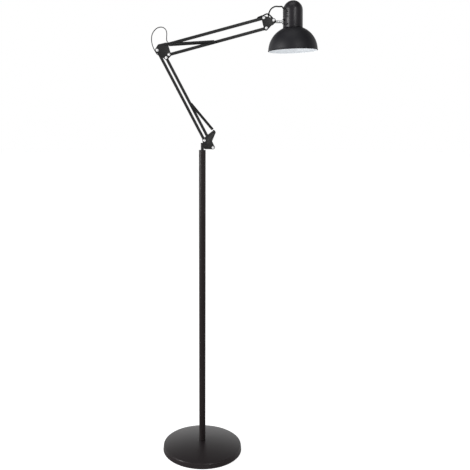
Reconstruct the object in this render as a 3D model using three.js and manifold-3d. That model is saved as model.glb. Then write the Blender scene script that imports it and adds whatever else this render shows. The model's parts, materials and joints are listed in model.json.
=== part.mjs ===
// Adjustable arm floor lamp: a weighted round base, a slim pole, two spring-balanced
// parallelogram arms and a tilting domed shade with a ribbed cap.
// Millimetres, +Z up. The origin is on the floor under the pole's axis. The arms lie in the
// XZ plane, and the shade hangs towards +X.
import * as THREE from 'three';
import { mergeVertices } from 'three/addons/utils/BufferGeometryUtils.js';
import Module from 'manifold-3d';

// ---------------------------------------------------------------- driving dimensions
const GAP = 0.3; // between faces that touch on the real lamp
const SLIDE = 0.6; // on the radius, where one piece passes through another freely

const BASE_RADIUS = 138;
const BASE_RIM_HEIGHT = 20; // where the side wall turns into the domed top
const BASE_DOME_RISE = 13.5;
const BASE_EDGE_RADIUS = 3;
const BASE_DRAFT = 1.5; // the side wall leans in this much over its height
const COVER_WALL = 2;
const COVER_LIFT = 1; // the cover's lower edge stays this far off the floor
const PAD_RADIUS = BASE_RADIUS - 7;
const PAD_THICKNESS = 2;
const WEIGHT_BOSS_RADIUS = 20;
const CHANNEL_WIDTH = 10; // the cable's way under the weight
const CHANNEL_HEIGHT = 7;
const GLAND_RADIUS = 4.5;
const GLAND_HEIGHT = 9; // its axis above the floor
const GLAND_BORE = 2.4;
const GLAND_FLANGE = 1.5;
const GLAND_LENGTH = 16;

const FOOT_BOLT_RADIUS = 5;
const FOOT_BOLT_BORE = 2.6; // the cable passes up through the bolt
const FOOT_HEAD_RADIUS = 9.8;
const FOOT_HEAD_HEIGHT = 6;
const FOOT_WASHER_RADIUS = 13;
const FOOT_WASHER_THICKNESS = 1.6;
const FOOT_PLUG_LENGTH = 32;

const POLE_RADIUS = 11;
const POLE_WALL = 1.5;
const POLE_TOP = 1052;
const POLE_SEAM = 526; // height of the joint between the two pole tubes
const JOINER_LENGTH = 90;
const BUSH_LENGTH = 34;
const BUSH_FLANGE = 1.6;

const PIN_RADIUS = 5; // the swivel pin
const PIN_DEPTH = 60; // how far it reaches down into the pole
const PIN_TOP = POLE_TOP + 23;
const PIN_BLOCK_REACH = 17;

const BAR = 9; // square arm tube
const BAR_WALL = 1;
const BAR_END = 4.4; // tube beyond its pivot
const PLATE = 1.6; // thickness of the stamped plates
const PLATE_GAP = 0.6; // between a bar's side and the plate beside it

const LOWER_LENGTH = 318; // pivot to pivot
const LOWER_LEAN = 27.9; // degrees back from upright
const UPPER_LENGTH = 316;
const UPPER_RISE = 14.7; // degrees above level
const REAR_PIVOT = [6.8, POLE_TOP + 31]; // X and Z of the lower rear bar's bottom pivot
const LOWER_OFFSET = [28, -22.6]; // rear bar to front bar, the same at both ends
const ELBOW_OFFSET = [36.7, -13]; // lower rear pivot to the upper arm's lower pivot
const UPPER_OFFSET = [-8.7, 30.4]; // upper arm's lower bar to its top bar, the same at both ends
const TILT_OFFSET = [22.7, 23.4]; // upper arm's lower outer pivot to the tilt bolt
const EAR_OFFSET = [31.5, 28.5]; // lower rear pivot to the bracket's spring ear

const PIVOT_RADIUS = 2; // shank of a pivot bolt
const BOLT_HEAD_RADIUS = 4.2;
const BOLT_HEAD_HEIGHT = 2.6;
const NUT_RADIUS = 4.2; // across the corners is twice this
const NUT_HEIGHT = 3.4;
const BOLT_TAIL = 1.2; // shank beyond the nut

const SPRING_RADIUS = 4.4;
const SPRING_LINE = BAR / 2 + SPRING_RADIUS + 0.8; // a spring's axis from the arm's middle plane
const SPRING_PIN_RADIUS = 1.8;
const SPRING_PIN_HALF = SPRING_LINE + 3.6;
const SPRING_HOOK = 9; // from the pin's axis to where the coils start
const HOOK_RADIUS = 0.9;
const LOWER_SPRING_REACH = 165; // along the front bar from its bottom pivot
const UPPER_SPRING_REACH = 157; // along the lower bar of the upper arm from the elbow

const STEM_RADIUS = 4.5;
const STEM_DROP = 3.8; // stem's axis below the tilt bolt
const STEM_START = 8.3; // from the tilt bolt along X
const STEM_END = 25.9;
const KNUCKLE_NOSE = 4.7;
const HEAD_LEAN = 1.5; // degrees, the shade's foot swung outwards
const HEAD_PIVOT_X = 28.9; // head's own origin on the stem's axis, from the tilt bolt along X

const CAP_RADIUS = 31;
const HEAD_AXIS = CAP_RADIUS + 0.6; // cap and shade axis from the head's origin
const CAP_WALL = 1.6;
const CAP_TOP = 63; // above the stem's axis
const SHADE_RADIUS = 77.4;
const SHADE_HEIGHT = 74.7; // the dome's rise from its open edge to where its crown would be
const SHADE_WALL = 1;
const SHADE_RIM = -88.4; // the shade's open edge, from the stem's axis
const SHADE_LIP = 1.4; // bead around the open edge
const CAP_SHADE_GAP = 0.8;
const NOTCH_RADIUS = 8.6; // side opening of the cap for the swivel collar
const NOTCH_X = -2.5;
const VENT_COUNT = 8;
const VENT_HEIGHT = 2.2;
const VENT_PITCH = 6;
const VENT_FIRST = -10; // the lowest vent's middle, from the stem's axis
const VENT_REACH = 26; // half its width across the cap
const COLLAR_RADIUS = 7.6;
const COLLAR_TIP_RADIUS = 3.6;
const COLLAR_LENGTH = 9.4;
const SPIGOT_RADIUS = 3.2;

const HOLDER_RADIUS = CAP_RADIUS - 11;
const HOLDER_TOP = 25;
const HOLDER_BOTTOM = -31;
const HOLDER_FLANGE_RADIUS = HOLDER_RADIUS + 7;
const HOLDER_FLANGE = 2.6;
const SOCKET_RADIUS = 13.6;
const SOCKET_DEPTH = 38;
const RING_RADIUS = HOLDER_RADIUS + 6;
const RING_HEIGHT = 8;
const CONTACT_RADIUS = 4;
const CONTACT_HEIGHT = 2.4;

// Where the boot crosses the cap's wall, in the head's own frame
const BOOT_POINT = [HEAD_AXIS - 0.819 * CAP_RADIUS, -0.573 * CAP_RADIUS, CAP_TOP - 30.8];
const BOOT_ALONG = new THREE.Vector3(0.66, -0.3, -0.69).normalize();
const BOOT_OUT = 11;
const BOOT_IN = 8;
const BOOT_RADIUS = 3.1;
const BOOT_ROOT_RADIUS = 3.9;

const CABLE_RADIUS = 2.2; // in its sleeve at the head
const FLEX_THICK = 2.8; // flat twin flex at the elbow
const FLEX_WIDE = 4.4;
const CABLE_SLOT = 5.2; // width of the openings where it leaves the bars
const CABLE_SLOT_LENGTH = 11;

// ---------------------------------------------------------------- materials
const finish = (color, roughness, metalness) =>
  new THREE.MeshStandardMaterial({ color, roughness, metalness });
const BLACK_PAINT = finish(0x2b2b2d, 0.45, 0.2);
const BLACK_SATIN = finish(0x3a3a3c, 0.3, 0.3);
const BLACK_PLASTIC = finish(0x1f1f21, 0.5, 0);
const SPRING_STEEL = finish(0x2a2a2c, 0.4, 0.6);
const NICKEL = finish(0xd8d8da, 0.2, 0.9);
const CHROME = finish(0xcfd2d4, 0.12, 1);
const CAST_IRON = finish(0x55504c, 0.8, 0.6);
const ZINC = finish(0xa9adb0, 0.4, 0.8);
const FELT = finish(0x202020, 0.95, 0);
const PHENOLIC = finish(0x26221f, 0.35, 0);
const BRASS = finish(0xc8a04a, 0.3, 0.9);
const RUBBER = finish(0x1a1a1b, 0.7, 0);

// ---------------------------------------------------------------- solid modelling helpers
const wasm = await Module();
wasm.setup();

function solid(geometry) {
  const bare = geometry.clone();
  bare.deleteAttribute('normal');
  bare.deleteAttribute('uv');
  const merged = mergeVertices(bare, 1e-4);
  const index = Array.from(merged.index.array);
  const kept = [];
  for (let i = 0; i < index.length; i += 3) {
    const [a, b, c] = index.slice(i, i + 3);
    if (a !== b && b !== c && c !== a) kept.push(a, b, c);
  }
  return new wasm.Manifold(new wasm.Mesh({
    numProp: 3,
    vertProperties: new Float32Array(merged.attributes.position.array),
    triVerts: new Uint32Array(kept),
  }));
}

function geometry(body) {
  const mesh = body.getMesh();
  const result = new THREE.BufferGeometry();
  result.setAttribute('position', new THREE.BufferAttribute(new Float32Array(mesh.vertProperties), 3));
  result.setIndex(Array.from(mesh.triVerts));
  result.computeVertexNormals();
  return result;
}

function cut(from, ...tools) {
  return geometry(tools.reduce((body, tool) => body.subtract(solid(tool)), solid(from)));
}

function join(first, ...others) {
  return geometry(others.reduce((body, other) => body.add(solid(other)), solid(first)));
}

// A body turned about Z from [radius, z] points. A profile that starts and ends on the axis is
// solid, and one that doesn't is closed into a ring.
function turned(points, segments = 32) {
  const ring = points[0][0] > 0;
  const closed = ring ? [...points, points[0]] : points;
  let area = 0;
  for (let i = 0; i < points.length; i++) {
    const [r0, z0] = points[i];
    const [r1, z1] = points[(i + 1) % points.length];
    area += r0 * z1 - r1 * z0;
  }
  const ordered = area > 0 ? closed : [...closed].reverse();
  const profile = ordered.map(([r, z]) => new THREE.Vector2(r, z));
  return new THREE.LatheGeometry(profile, segments).rotateX(Math.PI / 2);
}

const tube = (inner, outer, z0, z1, segments) =>
  turned([[inner, z0], [outer, z0], [outer, z1], [inner, z1]], segments);
const rod = (radius, z0, z1, segments) =>
  turned([[0, z0], [radius, z0], [radius, z1], [0, z1]], segments);
const alongX = (shape) => shape.rotateY(Math.PI / 2);
const alongY = (shape) => shape.rotateX(-Math.PI / 2);
const box = (x0, x1, y0, y1, z0, z1) =>
  new THREE.BoxGeometry(x1 - x0, y1 - y0, z1 - z0)
    .translate((x0 + x1) / 2, (y0 + y1) / 2, (z0 + z1) / 2);

// Points on an arc about [cx, cz], angles in degrees from +X.
function arc(cx, cz, radius, from, to, steps) {
  return Array.from({ length: steps + 1 }, (_, i) => {
    const a = THREE.MathUtils.degToRad(from + ((to - from) * i) / steps);
    return [cx + radius * Math.cos(a), cz + radius * Math.sin(a)];
  });
}

// A rounded outline that wraps [x, z, radius] circles, as a plate across Y.
function wrapped(circles, y0, y1) {
  const points = circles.flatMap(([x, z, radius]) => arc(x, z, radius, 0, 340, 17))
    .sort((a, b) => a[0] - b[0] || a[1] - b[1]);
  const turn = (o, a, b) => (a[0] - o[0]) * (b[1] - o[1]) - (a[1] - o[1]) * (b[0] - o[0]);
  const half = (list) => list.reduce((hull, p) => {
    while (hull.length > 1 && turn(hull.at(-2), hull.at(-1), p) <= 1e-6) hull.pop();
    return [...hull, p];
  }, []);
  const outline = [...half(points).slice(0, -1), ...half([...points].reverse()).slice(0, -1)];
  const shape = new THREE.Shape(outline.map(([x, z]) => new THREE.Vector2(x, z)));
  return new THREE.ExtrudeGeometry(shape, { depth: y1 - y0, bevelEnabled: false })
    .rotateX(Math.PI / 2).translate(0, y1, 0);
}

// A round or oval strand along a smooth line through points.
function strand(points, width, height, steps) {
  const sides = 8;
  const section = new THREE.Shape(Array.from({ length: sides }, (_, i) => {
    const a = (2 * Math.PI * (i + 0.5)) / sides;
    return new THREE.Vector2((width / 2) * Math.cos(a), (height / 2) * Math.sin(a));
  }));
  const path = new THREE.CatmullRomCurve3(points.map((p) => new THREE.Vector3(...p)), false, 'centripetal');
  return new THREE.ExtrudeGeometry(section, { steps, bevelEnabled: false, extrudePath: path });
}

// ---------------------------------------------------------------- pivots, from the sizes above
const degrees = THREE.MathUtils.degToRad;
const plus = ([x, z], [dx, dz], scale = 1) => [x + dx * scale, z + dz * scale];
const LOWER_WAY = [-Math.sin(degrees(LOWER_LEAN)), Math.cos(degrees(LOWER_LEAN))];
const UPPER_WAY = [Math.cos(degrees(UPPER_RISE)), Math.sin(degrees(UPPER_RISE))];

const lowerRear = REAR_PIVOT;
const lowerFront = plus(lowerRear, LOWER_OFFSET);
const ear = plus(lowerRear, EAR_OFFSET);
const elbowRear = plus(lowerRear, LOWER_WAY, LOWER_LENGTH);
const elbowFront = plus(elbowRear, LOWER_OFFSET);
const elbowLow = plus(elbowRear, ELBOW_OFFSET);
const elbowTop = plus(elbowLow, UPPER_OFFSET);
const headLow = plus(elbowLow, UPPER_WAY, UPPER_LENGTH);
const headTop = plus(headLow, UPPER_OFFSET);
const tilt = plus(headLow, TILT_OFFSET);
const stemZ = tilt[1] - STEM_DROP;
const headOrigin = [tilt[0] + HEAD_PIVOT_X, stemZ];
const plateIn = BAR / 2 + PLATE_GAP;
const plateOut = plateIn + PLATE;

const lamp = new THREE.Group();

function add(name, shape, material, [x, z] = [0, 0], turnY = 0, group = lamp) {
  const mesh = new THREE.Mesh(shape, material);
  mesh.name = name;
  mesh.position.set(x, 0, z);
  mesh.rotation.y = turnY;
  group.add(mesh);
  return mesh;
}

// ---------------------------------------------------------------- base
const domeAt = (r) =>
  BASE_RIM_HEIGHT + BASE_DOME_RISE * (1 - (r / (BASE_RADIUS - BASE_EDGE_RADIUS)) ** 2);

function baseCover() {
  const edge = BASE_RADIUS - BASE_DRAFT - BASE_EDGE_RADIUS;
  const edgeZ = BASE_RIM_HEIGHT - BASE_EDGE_RADIUS;
  const rings = [0.75, 0.4].map((share) => edge * share);
  const hole = FOOT_BOLT_RADIUS + SLIDE;
  const outside = [
    [BASE_RADIUS, COVER_LIFT],
    ...arc(edge, edgeZ, BASE_EDGE_RADIUS, 0, 90, 3),
    ...rings.map((r) => [r, domeAt(r)]),
    [hole, domeAt(hole)],
  ];
  const inside = [
    [hole, domeAt(hole) - COVER_WALL],
    ...[...rings].reverse().map((r) => [r, domeAt(r) - COVER_WALL]),
    ...arc(edge, edgeZ, BASE_EDGE_RADIUS - COVER_WALL, 90, 0, 1),
    [BASE_RADIUS - COVER_WALL, COVER_LIFT],
  ];
  const shell = turned([...outside, ...inside], 48);
  const exit = alongY(rod(GLAND_RADIUS + GAP, BASE_RADIUS - 12, BASE_RADIUS + 5, 16))
    .translate(0, 0, GLAND_HEIGHT);
  return cut(shell, exit);
}

function baseWeight() {
  const radius = BASE_RADIUS - COVER_WALL - BASE_DRAFT - 2 * GAP;
  const low = PAD_THICKNESS + GAP;
  const flat = BASE_RIM_HEIGHT - BASE_EDGE_RADIUS - 3;
  const boss = domeAt(WEIGHT_BOSS_RADIUS) - COVER_WALL - 3 * GAP;
  const bore = FOOT_BOLT_RADIUS + SLIDE;
  const recess = FOOT_WASHER_RADIUS + SLIDE;
  const recessTop = low + FOOT_HEAD_HEIGHT + FOOT_WASHER_THICKNESS + 3 * GAP;
  const casting = turned([
    [recess, low], [radius, low], [radius, flat], [WEIGHT_BOSS_RADIUS + 4, flat],
    [WEIGHT_BOSS_RADIUS, flat + 4], [WEIGHT_BOSS_RADIUS, boss], [bore, boss],
    [bore, recessTop], [recess, recessTop],
  ], 40);
  const pocket = BASE_RADIUS - GLAND_LENGTH - 4;
  const channel = box(-CHANNEL_WIDTH / 2, CHANNEL_WIDTH / 2, recess - 2, pocket + 1,
    low - 1, low + CHANNEL_HEIGHT);
  const seat = box(-GLAND_RADIUS - 3, GLAND_RADIUS + 3, pocket, BASE_RADIUS, low - 1,
    flat + 1);
  return cut(casting, channel, seat);
}

function gland() {
  const inner = BASE_RADIUS - GLAND_LENGTH + 3;
  const wall = BASE_RADIUS - COVER_WALL - BASE_DRAFT - 2 * GAP;
  const flange = GLAND_RADIUS + GLAND_FLANGE;
  return alongY(turned([
    [GLAND_BORE, inner], [flange, inner], [flange, wall - 1], [GLAND_RADIUS, wall - 1],
    [GLAND_RADIUS, BASE_RADIUS + 3], [GLAND_BORE, BASE_RADIUS + 3],
  ], 16)).translate(0, 0, GLAND_HEIGHT);
}

const footFace = domeAt(0) + GAP;
const footHeadZ = PAD_THICKNESS + 2 * GAP;
const washerZ = footHeadZ + FOOT_HEAD_HEIGHT + GAP;

function footBolt() {
  const head = turned([
    [FOOT_BOLT_BORE, footHeadZ], [FOOT_HEAD_RADIUS, footHeadZ],
    [FOOT_HEAD_RADIUS, footHeadZ + FOOT_HEAD_HEIGHT], [FOOT_BOLT_BORE, footHeadZ + FOOT_HEAD_HEIGHT],
  ], 6);
  const shank = tube(FOOT_BOLT_BORE, FOOT_BOLT_RADIUS, footHeadZ + FOOT_HEAD_HEIGHT - 1,
    footFace + FOOT_PLUG_LENGTH - 3, 20);
  const bore = rod(FOOT_BOLT_BORE, footHeadZ - 1, footHeadZ + FOOT_HEAD_HEIGHT + 1, 20);
  return cut(join(head, shank), bore);
}

add('base_floor_pad', rod(PAD_RADIUS, 0, PAD_THICKNESS, 48), FELT);
add('base_weight', baseWeight(), CAST_IRON);
add('base_cover', baseCover(), BLACK_SATIN);
add('cable_gland', gland(), RUBBER);
add('foot_bolt', footBolt(), ZINC);
add('foot_washer', tube(FOOT_BOLT_RADIUS + GAP, FOOT_WASHER_RADIUS, washerZ,
  washerZ + FOOT_WASHER_THICKNESS, 24), ZINC);

// ---------------------------------------------------------------- pole
const poleIn = POLE_RADIUS - POLE_WALL;
const poleEnd = POLE_TOP - BUSH_FLANGE - GAP;

add('foot_plug', tube(FOOT_BOLT_RADIUS + GAP, poleIn - GAP, footFace + GAP,
  footFace + FOOT_PLUG_LENGTH, 24), ZINC);
add('pole_lower_tube', tube(poleIn, POLE_RADIUS, footFace, POLE_SEAM - GAP / 2, 32), BLACK_PAINT);
add('pole_upper_tube', tube(poleIn, POLE_RADIUS, POLE_SEAM + GAP / 2, poleEnd, 32), BLACK_PAINT);
add('pole_joiner', tube(poleIn - GAP - POLE_WALL, poleIn - GAP, POLE_SEAM - JOINER_LENGTH / 2,
  POLE_SEAM + JOINER_LENGTH / 2, 24), ZINC);
add('pole_top_bush', turned([
  [PIN_RADIUS + GAP, POLE_TOP - BUSH_LENGTH], [poleIn - GAP, POLE_TOP - BUSH_LENGTH],
  [poleIn - GAP, POLE_TOP - BUSH_FLANGE], [POLE_RADIUS, POLE_TOP - BUSH_FLANGE],
  [POLE_RADIUS, POLE_TOP], [PIN_RADIUS + GAP, POLE_TOP],
], 24), BLACK_PLASTIC);

// ---------------------------------------------------------------- fasteners
const hole = (radius, [x, z]) =>
  alongY(rod(radius, -plateOut - 1, plateOut + 1, 12)).translate(x, 0, z);
const pivotHole = (place) => hole(PIVOT_RADIUS + GAP, place);
const nutFace = plateOut + GAP;

function pivotBolt() {
  const under = -nutFace;
  const tail = nutFace + NUT_HEIGHT + BOLT_TAIL;
  return alongY(turned([
    [0, under - BOLT_HEAD_HEIGHT], [BOLT_HEAD_RADIUS * 0.55, under - BOLT_HEAD_HEIGHT],
    [BOLT_HEAD_RADIUS, under - BOLT_HEAD_HEIGHT / 2], [BOLT_HEAD_RADIUS, under],
    [PIVOT_RADIUS, under], [PIVOT_RADIUS, tail], [0, tail],
  ], 12));
}

function pivotNut() {
  const blank = rod(NUT_RADIUS, nutFace, nutFace + NUT_HEIGHT, 6);
  return alongY(cut(blank, rod(PIVOT_RADIUS + GAP, nutFace - 1, nutFace + NUT_HEIGHT + 1, 12)));
}

function addPivot(name, place) {
  add(`${name}_bolt`, pivotBolt(), NICKEL, place);
  add(`${name}_nut`, pivotNut(), NICKEL, place);
}

// A cross pin with a small head at each end, which stops the spring hooks from sliding off.
const springPin = () => alongY(turned([
  [0, -SPRING_PIN_HALF], [SPRING_PIN_RADIUS + 1, -SPRING_PIN_HALF],
  [SPRING_PIN_RADIUS + 1, 1 - SPRING_PIN_HALF], [SPRING_PIN_RADIUS, 1 - SPRING_PIN_HALF],
  [SPRING_PIN_RADIUS, SPRING_PIN_HALF - 1], [SPRING_PIN_RADIUS + 1, SPRING_PIN_HALF - 1],
  [SPRING_PIN_RADIUS + 1, SPRING_PIN_HALF], [0, SPRING_PIN_HALF],
], 10));
const pinHole = (place) => hole(SPRING_PIN_RADIUS + GAP, place);

// A stub pin in one plate only, so that the bar can swing past between the plates.
function stubPin(side) {
  const head = SPRING_PIN_RADIUS + 1;
  const pin = alongY(turned([
    [0, plateIn], [SPRING_PIN_RADIUS, plateIn], [SPRING_PIN_RADIUS, SPRING_PIN_HALF - 1],
    [head, SPRING_PIN_HALF - 1], [head, SPRING_PIN_HALF], [0, SPRING_PIN_HALF],
  ], 10));
  return side < 0 ? pin.rotateX(Math.PI) : pin;
}

// ---------------------------------------------------------------- swivel bracket
const waist = plus(lowerRear, [16.5, -3]);
const blockCorner = plus(lowerRear, [5.2, -20]);
const rivetPlace = plus(blockCorner, [-1, 2.5]);

function bracketPin() {
  const pin = rod(PIN_RADIUS, POLE_TOP - PIN_DEPTH, PIN_TOP, 24);
  const half = plateIn - GAP;
  const block = box(0, PIN_BLOCK_REACH, -half, half, blockCorner[1] - 5.5, PIN_TOP - 0.5);
  const clearance = alongY(rod(BAR_END + BAR / 2 + SLIDE, -half - 1, half + 1, 24))
    .translate(lowerFront[0], 0, lowerFront[1]);
  return cut(join(pin, block), clearance, hole(PIVOT_RADIUS + GAP, rivetPlace));
}

function bracketPlate(side) {
  const [y0, y1] = side < 0 ? [-plateOut, -plateIn] : [plateIn, plateOut];
  const rear = [...lowerRear, 7];
  const middle = [...waist, 7.5];
  const heel = [...plus(lowerRear, [1.7, -25]), 3];
  const low = wrapped([rear, heel, [...lowerFront, 6], middle], y0, y1);
  const tab = [[...plus(ear, [-1.2, 3.2]), 1.5], [...ear, 3.6], [...plus(ear, [3.4, -3.4]), 1.5]];
  const high = wrapped([rear, ...tab, middle], y0, y1);
  return cut(join(low, high), pivotHole(lowerRear), pivotHole(lowerFront),
    pinHole(ear), hole(PIVOT_RADIUS + GAP, rivetPlace));
}

const rivet = () => alongY(turned([
  [0, -plateOut - 1.4], [2.4, -plateOut - 1.1], [3.2, -plateOut - GAP], [PIVOT_RADIUS, -plateOut - GAP],
  [PIVOT_RADIUS, plateOut + GAP], [3.2, plateOut + GAP], [2.4, plateOut + 1.1], [0, plateOut + 1.4],
], 12));

add('bracket_pin', bracketPin(), BLACK_PAINT);
add('bracket_plate_front', bracketPlate(-1), BLACK_PAINT);
add('bracket_plate_back', bracketPlate(1), BLACK_PAINT);
add('bracket_rivet', rivet(), BLACK_PAINT, rivetPlace);
add('bracket_spring_pin_front', stubPin(-1), SPRING_STEEL, ear);
add('bracket_spring_pin_back', stubPin(1), SPRING_STEEL, ear);
addPivot('lower_rear_pivot', lowerRear);
addPivot('lower_front_pivot', lowerFront);

// ---------------------------------------------------------------- arm bars
// A square tube along +X from its first pivot, with the cuts given in its own frame.
function bar(length, ...cuts) {
  const outer = box(-BAR_END, length + BAR_END, -BAR / 2, BAR / 2, -BAR / 2, BAR / 2);
  const half = BAR / 2 - BAR_WALL;
  const inner = box(-BAR_END - 1, length + BAR_END + 1, -half, half, -half, half);
  return cut(outer, inner, pivotHole([0, 0]), pivotHole([length, 0]), ...cuts);
}

// An opening in a bar's wall on the side given by +1 or -1 along its own Z.
function slot(at, side) {
  const wall = (BAR / 2) * side;
  return box(at - CABLE_SLOT_LENGTH / 2, at + CABLE_SLOT_LENGTH / 2, -CABLE_SLOT / 2, CABLE_SLOT / 2,
    Math.min(wall - 2 * BAR_WALL * side, wall + side), Math.max(wall - 2 * BAR_WALL * side, wall + side));
}

const ELBOW_EXIT = LOWER_LENGTH - 13; // where the flex leaves the lower rear bar
const ELBOW_ENTRY = 8; // where it enters the upper arm's top bar
const HEAD_EXIT = UPPER_LENGTH - 19; // where it leaves again
const lowerTurn = -degrees(90 + LOWER_LEAN);
const upperTurn = -degrees(UPPER_RISE);

add('lower_rear_bar', bar(LOWER_LENGTH, slot(ELBOW_EXIT, 1)), BLACK_PAINT, lowerRear, lowerTurn);
add('lower_front_bar', bar(LOWER_LENGTH, pinHole([LOWER_SPRING_REACH, 0])), BLACK_PAINT,
  lowerFront, lowerTurn);
add('upper_low_bar', bar(UPPER_LENGTH, pinHole([UPPER_SPRING_REACH, 0])), BLACK_PAINT,
  elbowLow, upperTurn);
add('upper_top_bar', bar(UPPER_LENGTH, slot(ELBOW_ENTRY, 1), slot(HEAD_EXIT, 1)), BLACK_PAINT,
  elbowTop, upperTurn);

// ---------------------------------------------------------------- balance springs
const lowerSpringPin = plus(lowerFront, LOWER_WAY, LOWER_SPRING_REACH);
const upperSpringPin = plus(elbowLow, UPPER_WAY, UPPER_SPRING_REACH);

// The outer shape of a coil spring between two pins, with its end hooks as thin rods.
function springBetween([x0, z0], [x1, z1], y) {
  const length = Math.hypot(x1 - x0, z1 - z0);
  const clear = SPRING_PIN_RADIUS + GAP;
  const body = turned([
    [0, clear], [HOOK_RADIUS, clear], [HOOK_RADIUS, SPRING_HOOK - 1], [SPRING_RADIUS, SPRING_HOOK],
    [SPRING_RADIUS, length - SPRING_HOOK], [HOOK_RADIUS, length - SPRING_HOOK + 1],
    [HOOK_RADIUS, length - clear], [0, length - clear],
  ], 10);
  return body.rotateY(Math.atan2(x1 - x0, z1 - z0)).translate(x0, y, z0);
}

add('lower_spring_pin', springPin(), SPRING_STEEL, lowerSpringPin);
add('upper_spring_pin', springPin(), SPRING_STEEL, upperSpringPin);
for (const [side, y] of [['front', -SPRING_LINE], ['back', SPRING_LINE]]) {
  add(`lower_spring_${side}`, springBetween(ear, lowerSpringPin, y), SPRING_STEEL);
  add(`upper_spring_${side}`, springBetween(elbowTop, upperSpringPin, y), SPRING_STEEL);
}

// ---------------------------------------------------------------- elbow
function elbowPlate(side) {
  const [y0, y1] = side < 0 ? [-plateOut, -plateIn] : [plateIn, plateOut];
  const blank = wrapped([
    [...elbowRear, 7.5], [...plus(elbowRear, [6.5, 12]), 6.5], [...elbowTop, 6],
    [...elbowLow, 6.5], [...elbowFront, 6],
  ], y0, y1);
  return cut(blank, pivotHole(elbowRear), pivotHole(elbowFront), pivotHole(elbowLow),
    pinHole(elbowTop));
}

add('elbow_plate_front', elbowPlate(-1), BLACK_PAINT);
add('elbow_plate_back', elbowPlate(1), BLACK_PAINT);
add('elbow_top_pin', springPin(), SPRING_STEEL, elbowTop);
addPivot('elbow_rear_pivot', elbowRear);
addPivot('elbow_front_pivot', elbowFront);
addPivot('elbow_low_pivot', elbowLow);

// ---------------------------------------------------------------- head bracket, knuckle, stem
function headPlate(side) {
  const [y0, y1] = side < 0 ? [-plateOut, -plateIn] : [plateIn, plateOut];
  const blank = wrapped([[...headTop, 6], [...headLow, 6.5], [...tilt, 6]], y0, y1);
  return cut(blank, pivotHole(headTop), pivotHole(headLow), pivotHole(tilt));
}

function knuckle() {
  const half = plateIn - GAP;
  const nose = [tilt[0] + STEM_START - KNUCKLE_NOSE, stemZ, KNUCKLE_NOSE];
  return cut(wrapped([[...tilt, 6.2], nose], -half, half), pivotHole(tilt));
}

add('head_plate_front', headPlate(-1), BLACK_PAINT);
add('head_plate_back', headPlate(1), BLACK_PAINT);
addPivot('head_top_pivot', headTop);
addPivot('head_low_pivot', headLow);
addPivot('tilt', tilt);
add('tilt_knuckle', knuckle(), BLACK_PLASTIC);
add('stem', alongX(rod(STEM_RADIUS, STEM_START + GAP, STEM_END, 20)), CHROME, [tilt[0], stemZ]);

// ---------------------------------------------------------------- head, in its own frame
const head = new THREE.Group();
head.position.set(headOrigin[0], 0, headOrigin[1]);
head.rotation.y = -degrees(HEAD_LEAN);
lamp.add(head);

// Height of the shade's dome at a radius, for its outside or a skin so far inside it.
const shadeAt = (r, inside = 0) =>
  SHADE_RIM + (SHADE_HEIGHT - inside) * Math.sqrt(1 - (r / (SHADE_RADIUS - inside)) ** 2);
const capFoot = shadeAt(CAP_RADIUS) + CAP_SHADE_GAP;
const inHead = (shape) => shape.translate(HEAD_AXIS, 0, 0);

function boot(clearance) {
  const shape = turned([
    [0, -BOOT_OUT - clearance], [BOOT_RADIUS + clearance, -BOOT_OUT - clearance],
    [BOOT_ROOT_RADIUS + clearance, BOOT_IN + clearance], [0, BOOT_IN + clearance],
  ], 14);
  const turn = new THREE.Quaternion().setFromUnitVectors(new THREE.Vector3(0, 0, 1), BOOT_ALONG);
  return shape.applyQuaternion(turn).translate(...BOOT_POINT);
}

function capShell() {
  const domeZ = CAP_TOP - CAP_RADIUS;
  const shell = inHead(turned([
    [CAP_RADIUS - CAP_WALL, capFoot], [CAP_RADIUS, capFoot],
    ...arc(0, domeZ, CAP_RADIUS, 0, 78, 6), [0, CAP_TOP], [0, CAP_TOP - CAP_WALL],
    ...arc(0, domeZ, CAP_RADIUS - CAP_WALL, 78, 0, 5),
  ], 32));
  const notch = alongY(rod(NOTCH_RADIUS, -VENT_REACH, VENT_REACH, 20)).translate(NOTCH_X, 0, 0);
  const vents = Array.from({ length: VENT_COUNT }, (_, i) => VENT_FIRST + i * VENT_PITCH)
    .filter((z) => Math.abs(z) > NOTCH_RADIUS + VENT_HEIGHT / 2)
    .map((z) => box(-10, CAP_RADIUS * 0.7, -VENT_REACH, VENT_REACH, z - VENT_HEIGHT / 2,
      z + VENT_HEIGHT / 2));
  return cut(shell, notch, boot(GAP), ...vents);
}

function shade() {
  const mouth = HOLDER_RADIUS + SLIDE;
  const lip = SHADE_RADIUS - SHADE_WALL / 2;
  const skin = (inside) => {
    const radius = SHADE_RADIUS - inside;
    const end = THREE.MathUtils.radToDeg(Math.acos(mouth / radius));
    return arc(0, 0, radius, 3, end, 9).map(([r]) => [r, shadeAt(r, inside)]);
  };
  return inHead(turned([
    ...arc(lip, SHADE_RIM, SHADE_LIP, 180, 360, 4), ...skin(0), ...skin(SHADE_WALL).reverse(),
  ], 40));
}

function lampholder() {
  const flangeLow = shadeAt(HOLDER_RADIUS) + GAP;
  const mouth = HOLDER_BOTTOM + SOCKET_DEPTH;
  return inHead(turned([
    [0, mouth], [SOCKET_RADIUS, mouth], [SOCKET_RADIUS, HOLDER_BOTTOM],
    [HOLDER_RADIUS, HOLDER_BOTTOM], [HOLDER_RADIUS, flangeLow], [HOLDER_FLANGE_RADIUS, flangeLow],
    [HOLDER_FLANGE_RADIUS, flangeLow + HOLDER_FLANGE], [HOLDER_RADIUS, flangeLow + HOLDER_FLANGE],
    [HOLDER_RADIUS, HOLDER_TOP - 4], [HOLDER_RADIUS - 4, HOLDER_TOP], [0, HOLDER_TOP],
  ], 24));
}

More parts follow.
